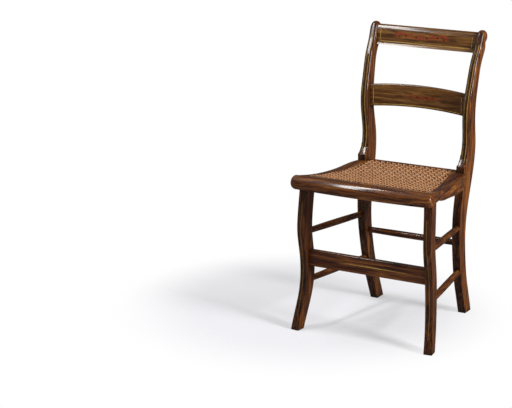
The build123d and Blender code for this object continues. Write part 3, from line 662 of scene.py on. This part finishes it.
def knee_flare(name, post, x):
    """The hollow slope between a knee's block and its stile, both found on the post itself."""
    front = post.ray_cast((x, -1, KNEE_BLOCK_Z), (0, 1, 0))[1].y + FLARE_SET_BACK
    ledge_z = post.ray_cast((x, front + LEDGE_INSET, ABOVE_KNEE_Z), (0, 0, -1))[1].z
    foot, top = ledge_z - FLARE_FOOT_SINK, ledge_z + FLARE_HEIGHT
    back = post.ray_cast((x, -1, top), (0, 1, 0))[1].y - front + FLARE_TOP_SINK
    depth, middle = back + FLARE_ROOT, (foot + top) / 2
    piece = start("cube", name, size=1, location=(x, front + depth / 2, middle),
                  scale=(2 * FLARE_HALF, depth, top - foot))
    choose(piece, "EDGE", lambda spot: abs(spot.z - middle) < MM and spot.y < front + MM)
    bpy.ops.mesh.bevel(offset=FLARE_ARRIS, segments=4)
    choose(piece, "VERT", lambda spot: spot.z > top - MM and spot.y < front + FLARE_ARRIS + MM)
    bpy.ops.transform.translate(value=(0, back, 0))
    choose(piece, "EDGE", lambda spot: abs(spot.z - middle) < MM)
    bpy.ops.mesh.subdivide(number_cuts=FLARE_ROWS - 1)
    for row in range(1, FLARE_ROWS):
        t = row / FLARE_ROWS
        height, straight = foot + t * (top - foot), front + t * back
        choose(piece, "VERT",
               lambda spot: abs(spot.z - height) < MM and spot.y < straight + FLARE_ARRIS + MM)
        bpy.ops.transform.translate(value=(0, back * FLARE_HOLLOW * 4 * t * (1 - t), 0))
    only(piece)
    bpy.ops.object.shade_smooth_by_angle(angle=FLARE_SMOOTH)
    piece.data.materials.append(stile_paint)
    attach(piece, "root")
    print(name, "front, ledge and depth in mm", [round(size / MM, 1) for size in (front, ledge_z, back)])


knee_flare("left_knee_flare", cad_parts["left_rear_post"], -KNEE_X)
knee_flare("right_knee_flare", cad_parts["right_rear_post"], KNEE_X)

# %% [markdown]
# ## The cane seat
#
# Cane is the shiny bark of rattan, split into strands about 3 mm wide. The six-way weave has pairs from
# back to front, pairs from side to side, and one strand each way on the diagonal. The pairs make a plain
# weave where they cross. One diagonal passes over the long pairs and under the cross pairs half way
# between those crossings, and the other does the opposite, which leaves rows of eight-sided holes. It is
# woven flat here, from one short length of strand that is copied along and across, cut to the seat's
# outline, and then bent onto the dished seat with a Curve modifier.

# %% Measures of the weave
HOLE_FRONT_Y = -163.2 * MM
HOLE_REAR_Y = 124.0 * MM
HOLE_FRONT_X = 186.0 * MM
HOLE_REAR_X = 130.2 * MM
CANE_SHEET = 1.6 * MM
ROWS = 16       # that makes a pitch of about 18 mm, coarser than the usual half inch
PITCH = (HOLE_REAR_Y - HOLE_FRONT_Y) / ROWS
# Real strands are about 3 mm wide and 1 mm thick. These are drawn plumper, so that the weave closes when it
# is looked at along the seat.
STRAND_WIDTH = 3.9 * MM
STRAND_THICK = 1.8 * MM
STRAND_SIDES = 6
HALF_PAIR = 2.6 * MM
CROSS_LIFT = 0.95 * MM
SLANT_LIFT = 2.1 * MM
WEAVE_MIDDLE = 1.0 * MM
print("pitch in mm", round(PITCH / MM, 2))


# %% Weaving helpers
def strand(name, along, steps):
    """A short length of lens-shaped strand that starts at the first step and runs through (place, lift)."""
    first_place, first_lift = steps[0]
    turn = (math.pi / 2, 0, 0) if along == "Y" else (math.pi / 2, 0, math.pi / 2)
    where = (0, first_place, first_lift) if along == "Y" else (first_place, 0, first_lift)
    piece = start("circle", name, vertices=STRAND_SIDES, radius=STRAND_WIDTH / 2, location=where,
                  rotation=turn)
    flat = STRAND_THICK / (STRAND_WIDTH * math.sin(2 * math.pi / STRAND_SIDES))
    bpy.ops.mesh.select_all(action="SELECT")
    bpy.ops.transform.resize(value=(1, 1, flat), center_override=where)
    for (place, lift), (next_place, next_lift) in zip(steps, steps[1:]):
        run = next_place - place
        move = (0, run, next_lift - lift) if along == "Y" else (run, 0, next_lift - lift)
        bpy.ops.mesh.extrude_region_move(TRANSFORM_OT_translate={"value": move})
    only(piece)
    return piece


def joined(pieces):
    """Several pieces as one."""
    only(pieces[0])
    for piece in pieces:
        piece.select_set(True)
    bpy.ops.object.join()
    return bpy.context.object


def trim(piece, corner, outward):
    """Cuts away what lies beyond a line on the seat's plan and closes the cut ends."""
    only(piece)
    bpy.ops.object.mode_set(mode="EDIT")
    bpy.ops.mesh.select_all(action="SELECT")
    bpy.ops.mesh.bisect(plane_co=corner, plane_no=outward, use_fill=True, clear_outer=True)
    bpy.ops.object.mode_set(mode="OBJECT")


WEAVE_INSET = 1.8 * MM
SIDE_SLOPE = (HOLE_REAR_X - HOLE_FRONT_X) / (HOLE_REAR_Y - HOLE_FRONT_Y)


def trim_to_holes(piece):
    """Cuts a woven layer just inside the four lines of holes, where the binding strip covers its ends."""
    trim(piece, (0, HOLE_FRONT_Y + WEAVE_INSET, 0), (0, -1, 0))
    trim(piece, (0, HOLE_REAR_Y - WEAVE_INSET, 0), (0, 1, 0))
    for side in (1, -1):
        trim(piece, (side * (HOLE_FRONT_X - WEAVE_INSET), HOLE_FRONT_Y, 0), (side, -SIDE_SLOPE, 0))


# %% [markdown]
# ### The seat's dish as a curve
#
# The frame's top is scooped from front to back. The woven layers follow that line, so it is sampled from
# the plain sheet that they replace, at X = 0, and kept as a line of short steps for the Curve modifier.

# %% Seat line
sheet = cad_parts["cane_seat"]
bpy.context.view_layer.update()
seat_curve = bpy.data.curves.new("seat_line", "CURVE")
seat_curve.dimensions = "3D"
seat_curve.twist_mode = "Z_UP"
spline = seat_curve.splines.new("POLY")
SAMPLES = 60
SHEET_MARGIN = 4 * MM
heights = []
for i in range(SAMPLES + 1):
    y = HOLE_FRONT_Y + SHEET_MARGIN + (HOLE_REAR_Y - HOLE_FRONT_Y - 2 * SHEET_MARGIN) * i / SAMPLES
    heights.append((y, sheet.ray_cast((0, y, 1), (0, 0, -1))[1].z - CANE_SHEET))


def beyond(end, inner, y):
    """The line goes straight on past its end."""
    return y, end[1] + (end[1] - inner[1]) * (y - end[0]) / (end[0] - inner[0])


heights.insert(0, beyond(heights[0], heights[1], HOLE_FRONT_Y))
heights.append(beyond(heights[-1], heights[-2], HOLE_REAR_Y))
spline.points.add(len(heights) - 1)
for point, (y, z) in zip(spline.points, heights):
    point.co = (0, y, z, 1)
    point.tilt = -math.pi / 2
seat_line = bpy.data.objects.new("seat_line", seat_curve)
bpy.context.scene.collection.objects.link(seat_line)
seat_length = sum(math.dist(a, b) for a, b in zip(heights, heights[1:]))
print("seat line in mm", round(seat_length / MM, 1), "front and rear height",
      round(heights[0][1] / MM, 1), round(heights[-1][1] / MM, 1))


def lay_on_seat(piece, lift=0.0):
    """Bends a flat layer onto the seat line."""
    only(piece)
    bpy.ops.object.mode_set(mode="EDIT")
    bpy.ops.mesh.select_all(action="SELECT")
    bpy.ops.transform.translate(value=(0, -HOLE_FRONT_Y, lift))
    stretch = seat_length / (HOLE_REAR_Y - HOLE_FRONT_Y)
    bpy.ops.transform.resize(value=(1, stretch, 1), center_override=(0, 0, 0))
    finish_with(piece, "CURVE", object=seat_line, deform_axis="POS_Y")
    print(piece.name, "faces", len(piece.data.polygons))


# %% The wave of a strand, and a pair of strands
COLUMNS = int(HOLE_FRONT_X / PITCH)
SETTLE = 2.8 * MM       # past a crossing a strand is level again after this much
level_from = HALF_PAIR + SETTLE
wave = [(-HALF_PAIR, -CROSS_LIFT), (HALF_PAIR, CROSS_LIFT), (level_from, 0), (PITCH - level_from, 0),
        (PITCH - HALF_PAIR, -CROSS_LIFT)]
opposite = [(place, -lift) for place, lift in wave]


def pair_of_strands(name, along, waves, corner):
    """Two strands side by side, each on its own wave, that start from a corner of the weave."""
    pair = []
    for offset, steps in zip((-HALF_PAIR, HALF_PAIR), waves):
        piece = strand(name, along, [(place, lift + WEAVE_MIDDLE) for place, lift in steps])
        across, back = corner
        move = (across + offset, back, 0) if along == "Y" else (across, back + offset, 0)
        shift(piece, move)
        pair.append(piece)
    return joined(pair)


print("columns to either side", COLUMNS, "and a strand is level from", round(level_from / MM, 2), "mm on")

# %% Long pairs, back to front
long_pairs = pair_of_strands("cane_long_pairs", "Y", (wave, opposite), (0, HOLE_FRONT_Y - PITCH))
repeat(long_pairs, (0, PITCH, 0), ROWS + 2)
shift(long_pairs, (-COLUMNS * PITCH, 0, 0))
repeat(long_pairs, (PITCH, 0, 0), 2 * COLUMNS + 1)
trim_to_holes(long_pairs)
lay_on_seat(long_pairs)

# %% Cross pairs, side to side
cross_pairs = pair_of_strands("cane_cross_pairs", "X", (opposite, wave),
                              (-(COLUMNS + 2) * PITCH, HOLE_FRONT_Y + PITCH))
repeat(cross_pairs, (PITCH, 0, 0), 2 * COLUMNS + 4)
repeat(cross_pairs, (0, PITCH, 0), ROWS - 1)
trim_to_holes(cross_pairs)
lay_on_seat(cross_pairs)

# %% Diagonals
DIAGONAL_COPIES = 22
RAMP_FROM = 0.36        # a strand starts to change sides after this share of a step
diagonal_step = PITCH / math.sqrt(2)
top, bottom = WEAVE_MIDDLE + SLANT_LIFT, WEAVE_MIDDLE - SLANT_LIFT
ramp_start, ramp_end = diagonal_step * RAMP_FROM, diagonal_step * (1 - RAMP_FROM)
slant_wave = [(0, top), (ramp_start, top), (ramp_end, bottom), (diagonal_step, bottom),
              (diagonal_step + ramp_start, bottom), (diagonal_step + ramp_end, top),
              (2 * diagonal_step, top)]


def diagonals(name, mirror):
    """All the strands of one slant: two neighbours out of step, copied along and across, then turned."""
    pieces = []
    for row in (0, 1):
        piece = strand(name, "X", slant_wave)
        shift(piece, (row * diagonal_step, row * diagonal_step, 0))
        pieces.append(piece)
    layer = joined(pieces)
    repeat(layer, (2 * diagonal_step, 0, 0), DIAGONAL_COPIES)
    repeat(layer, (0, 2 * diagonal_step, 0), DIAGONAL_COPIES)
    middle = -diagonal_step * DIAGONAL_COPIES
    shift(layer, (middle, middle, 0))
    bpy.ops.object.mode_set(mode="EDIT")
    bpy.ops.transform.rotate(value=-math.pi / 4, orient_axis="Z", center_override=(0, 0, 0))
    bpy.ops.transform.translate(value=(0, HOLE_FRONT_Y + PITCH * ROWS / 2 - PITCH / 2, 0))
    if mirror:
        bpy.ops.transform.resize(value=(-1, 1, 1), center_override=(0, 0, 0))
        bpy.ops.transform.translate(value=(PITCH / 2, -PITCH / 2, 0))
        bpy.ops.mesh.flip_normals()
    only(layer)
    trim_to_holes(layer)
    lay_on_seat(layer)
    return layer


right_slants = diagonals("cane_right_slants", False)
left_slants = diagonals("cane_left_slants", True)

# %% [markdown]
# ### The binder
#
# A wider strip of binding cane lies over the holes all round. At every hole a strand loops over it and
# pulls it down, so the strip looks stitched.

# %% Binding strip
BINDER_WIDTH = 5.6 * MM
BINDER_THICK = 1.2 * MM
BINDER_LIFT = 2.2 * MM
BINDER_CUTS = 40
NEAR_MIDDLE = 20 * MM
MIDDLE_Y = (HOLE_FRONT_Y + HOLE_REAR_Y) / 2
binder = start("plane", "cane_binding_strip", size=1, location=(0, 0, 0))
bpy.ops.mesh.select_all(action="SELECT")
bpy.ops.transform.resize(value=(2 * HOLE_FRONT_X, HOLE_REAR_Y - HOLE_FRONT_Y, 1), center_override=(0, 0, 0))
bpy.ops.transform.translate(value=(0, MIDDLE_Y, 0))
choose(binder, "EDGE", lambda spot: spot.y > HOLE_REAR_Y - MM)
bpy.ops.transform.resize(value=(HOLE_REAR_X / HOLE_FRONT_X, 1, 1), center_override=(0, HOLE_REAR_Y, 0))
choose(binder, "FACE", lambda spot: True)
bpy.ops.mesh.inset(thickness=BINDER_WIDTH / 2, use_outset=True)
choose(binder, "FACE", lambda spot: max(abs(spot.y - MIDDLE_Y), abs(spot.x)) < NEAR_MIDDLE)
bpy.ops.mesh.inset(thickness=BINDER_WIDTH / 2)
bpy.ops.mesh.delete(type="FACE")
choose(binder, "EDGE", lambda spot: abs(spot.y - MIDDLE_Y) < NEAR_MIDDLE)
bpy.ops.mesh.subdivide(number_cuts=BINDER_CUTS)
finish_with(binder, "SOLIDIFY", thickness=BINDER_THICK, offset=0.0)
lay_on_seat(binder, BINDER_LIFT)

# %% Loops over the strip
LOOP_SPAN = 6.2 * MM
LOOP_SHOULDER = 0.8 * LOOP_SPAN / 2
LOOP_FOOT_LIFT = 1.0 * MM
LOOP_SHOULDER_LIFT = 2.4 * MM
LOOP_TOP_LIFT = 2.8 * MM


def loop(name, along):
    """One strand that rises out of the frame, crosses the strip and goes down again."""
    rise = [(-LOOP_SPAN / 2, LOOP_FOOT_LIFT), (-LOOP_SHOULDER, LOOP_SHOULDER_LIFT)]
    fall = [(-place, lift) for place, lift in reversed(rise)]
    return strand(name, along, rise + [(0, LOOP_TOP_LIFT)] + fall)


def row_of_loops(name, along, start_place, step, count):
    """Loops at a line of holes, one at each hole."""
    row = loop(name, along)
    shift(row, start_place)
    repeat(row, step, count)
    lay_on_seat(row)
    return row


loops = []
for name, y, half_width in (("cane_loops_front", HOLE_FRONT_Y, HOLE_FRONT_X),
                            ("cane_loops_rear", HOLE_REAR_Y, HOLE_REAR_X)):
    columns = int(half_width / PITCH)
    loops.append(row_of_loops(name, "Y", (-columns * PITCH, y, 0), (PITCH, 0, 0), 2 * columns + 1))
side_step = (HOLE_REAR_X - HOLE_FRONT_X) / ROWS
for name, side in (("cane_loops_right", 1), ("cane_loops_left", -1)):
    loops.append(row_of_loops(name, "X", (side * HOLE_FRONT_X, HOLE_FRONT_Y, 0),
                              (side * side_step, PITCH, 0), ROWS + 1))

# %% Cane material
CANE_PALE = "#c69872"
CANE_MIDDLE = "#ae7d56"
CANE_DARK = "#805534"
# painted shade between the strands, and how far it reaches
CANE_SHADE = "#3f1c0e"
CANE_SHADE_REACH = 4 * MM
BARK_WIDTH = 3 * MM
BARK_LENGTH = 60 * MM


def cane(name, width, length, along, turn=0.0, hollow=1.0):
    """Rattan bark: satin, straw-coloured, each strand a little different, darker spots along it.

    Where strands lie close they get painted shade, as strong as hollow says.
    """
    material, tree, surface = new_material(name)
    place = add_node(tree, "TexCoord", out="Object")
    turned = add_node(tree, "Mapping", {"Vector": place, "Rotation": (0, 0, turn)})
    length_wise = add_node(tree, "Mapping", {"Vector": turned, "Scale": streak(along, width, length)})
    tone = add_node(tree, "TexNoise", {"Vector": length_wise, "Scale": 1.0, "Detail": 2.0})
    spread = add_node(tree, "MapRange", {0: tone, 1: 0.3, 2: 0.7})
    colour = add_node(tree, "ValToRGB", {0: spread},
                      stops=[(0.0, CANE_DARK), (1.0, CANE_PALE), (0.45, CANE_MIDDLE)])
    # painted shade: the colour goes towards the shade colour where ambient occlusion finds strands close
    # together
    corner = add_node(tree, "AmbientOcclusion", {"Distance": CANE_SHADE_REACH}, out="AO", samples=6)
    deep = add_node(tree, "MapRange", {0: corner, 1: 0.7, 2: 0.25, 3: 0.0, 4: hollow})
    colour = add_node(tree, "Mix", {"Factor": deep, 6: colour, 7: linear(CANE_SHADE)}, out=2,
                      data_type="RGBA")
    shader = add_node(tree, "BsdfPrincipled", {
        "Base Color": colour, "Roughness": 0.42, "IOR": 1.5, "Coat Weight": 0.1, "Coat Roughness": 0.3})
    tree.links.new(shader, surface)
    return material


def dress(piece, material, node):
    """Gives a woven piece its material, hangs it on the root and hides the plain node it stands for."""
    piece.data.materials.clear()
    piece.data.materials.append(material)
    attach(piece, "root")
    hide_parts(node)
    print(piece.name, "in", material.name, "for", node)


for piece, name, along, turn in ((long_pairs, "rattan_bark_long", "Y", 0.0),
                                 (cross_pairs, "rattan_bark_cross", "X", 0.0),
                                 (right_slants, "rattan_bark_right_slant", "X", -math.pi / 4),
                                 (left_slants, "rattan_bark_left_slant", "X", math.pi / 4)):
    dress(piece, cane(name, BARK_WIDTH, BARK_LENGTH, along, turn), "cane_seat")

# the binding gets a weaker painted shade
binding = cane("binding_cane", width=6 * MM, length=40 * MM, along="X", hollow=0.35)
for piece in [binder] + loops:
    dress(piece, binding, "cane_binder")
bpy.data.objects.remove(seat_line)
